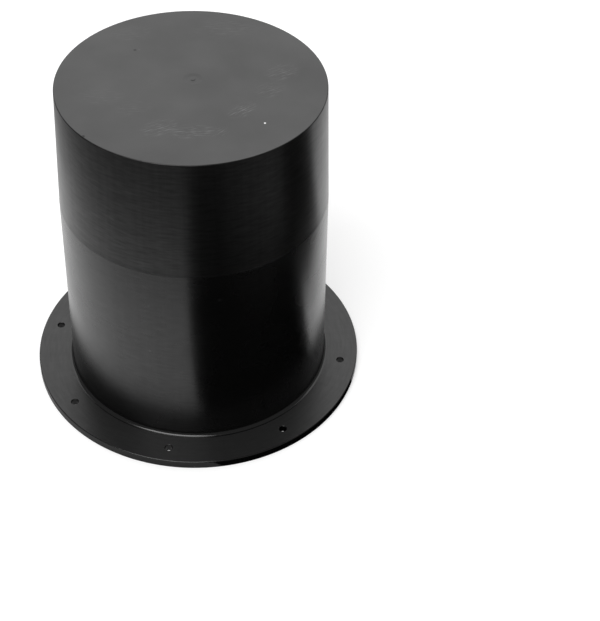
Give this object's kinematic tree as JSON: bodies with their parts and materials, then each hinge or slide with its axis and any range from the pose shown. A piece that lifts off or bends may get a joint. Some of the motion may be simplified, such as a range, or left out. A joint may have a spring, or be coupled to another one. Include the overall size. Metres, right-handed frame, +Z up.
{
  "type": "pipe penetration sleeve",
  "caption": "Round tapered plastic sleeve, closed at one end, with a nailing flange round its open mouth, cast into a slab to leave a hole for a pipe.",
  "frame": {"origin": "centre of the open mouth, on the underside of the flange", "axes": "+Z up the sleeve's axis from the mouth to the closed end, +X through the middle of one nail hole"},
  "size_m": [0.2032, 0.2032, 0.2032],
  "materials": {
    "black_polypropylene": "satin black moulded polypropylene, fine turned tool marks round the wall, matt closed end"
  },
  "bodies": {
    "root": {"sleeve": "black_polypropylene"}
  },
  "joints": []
}
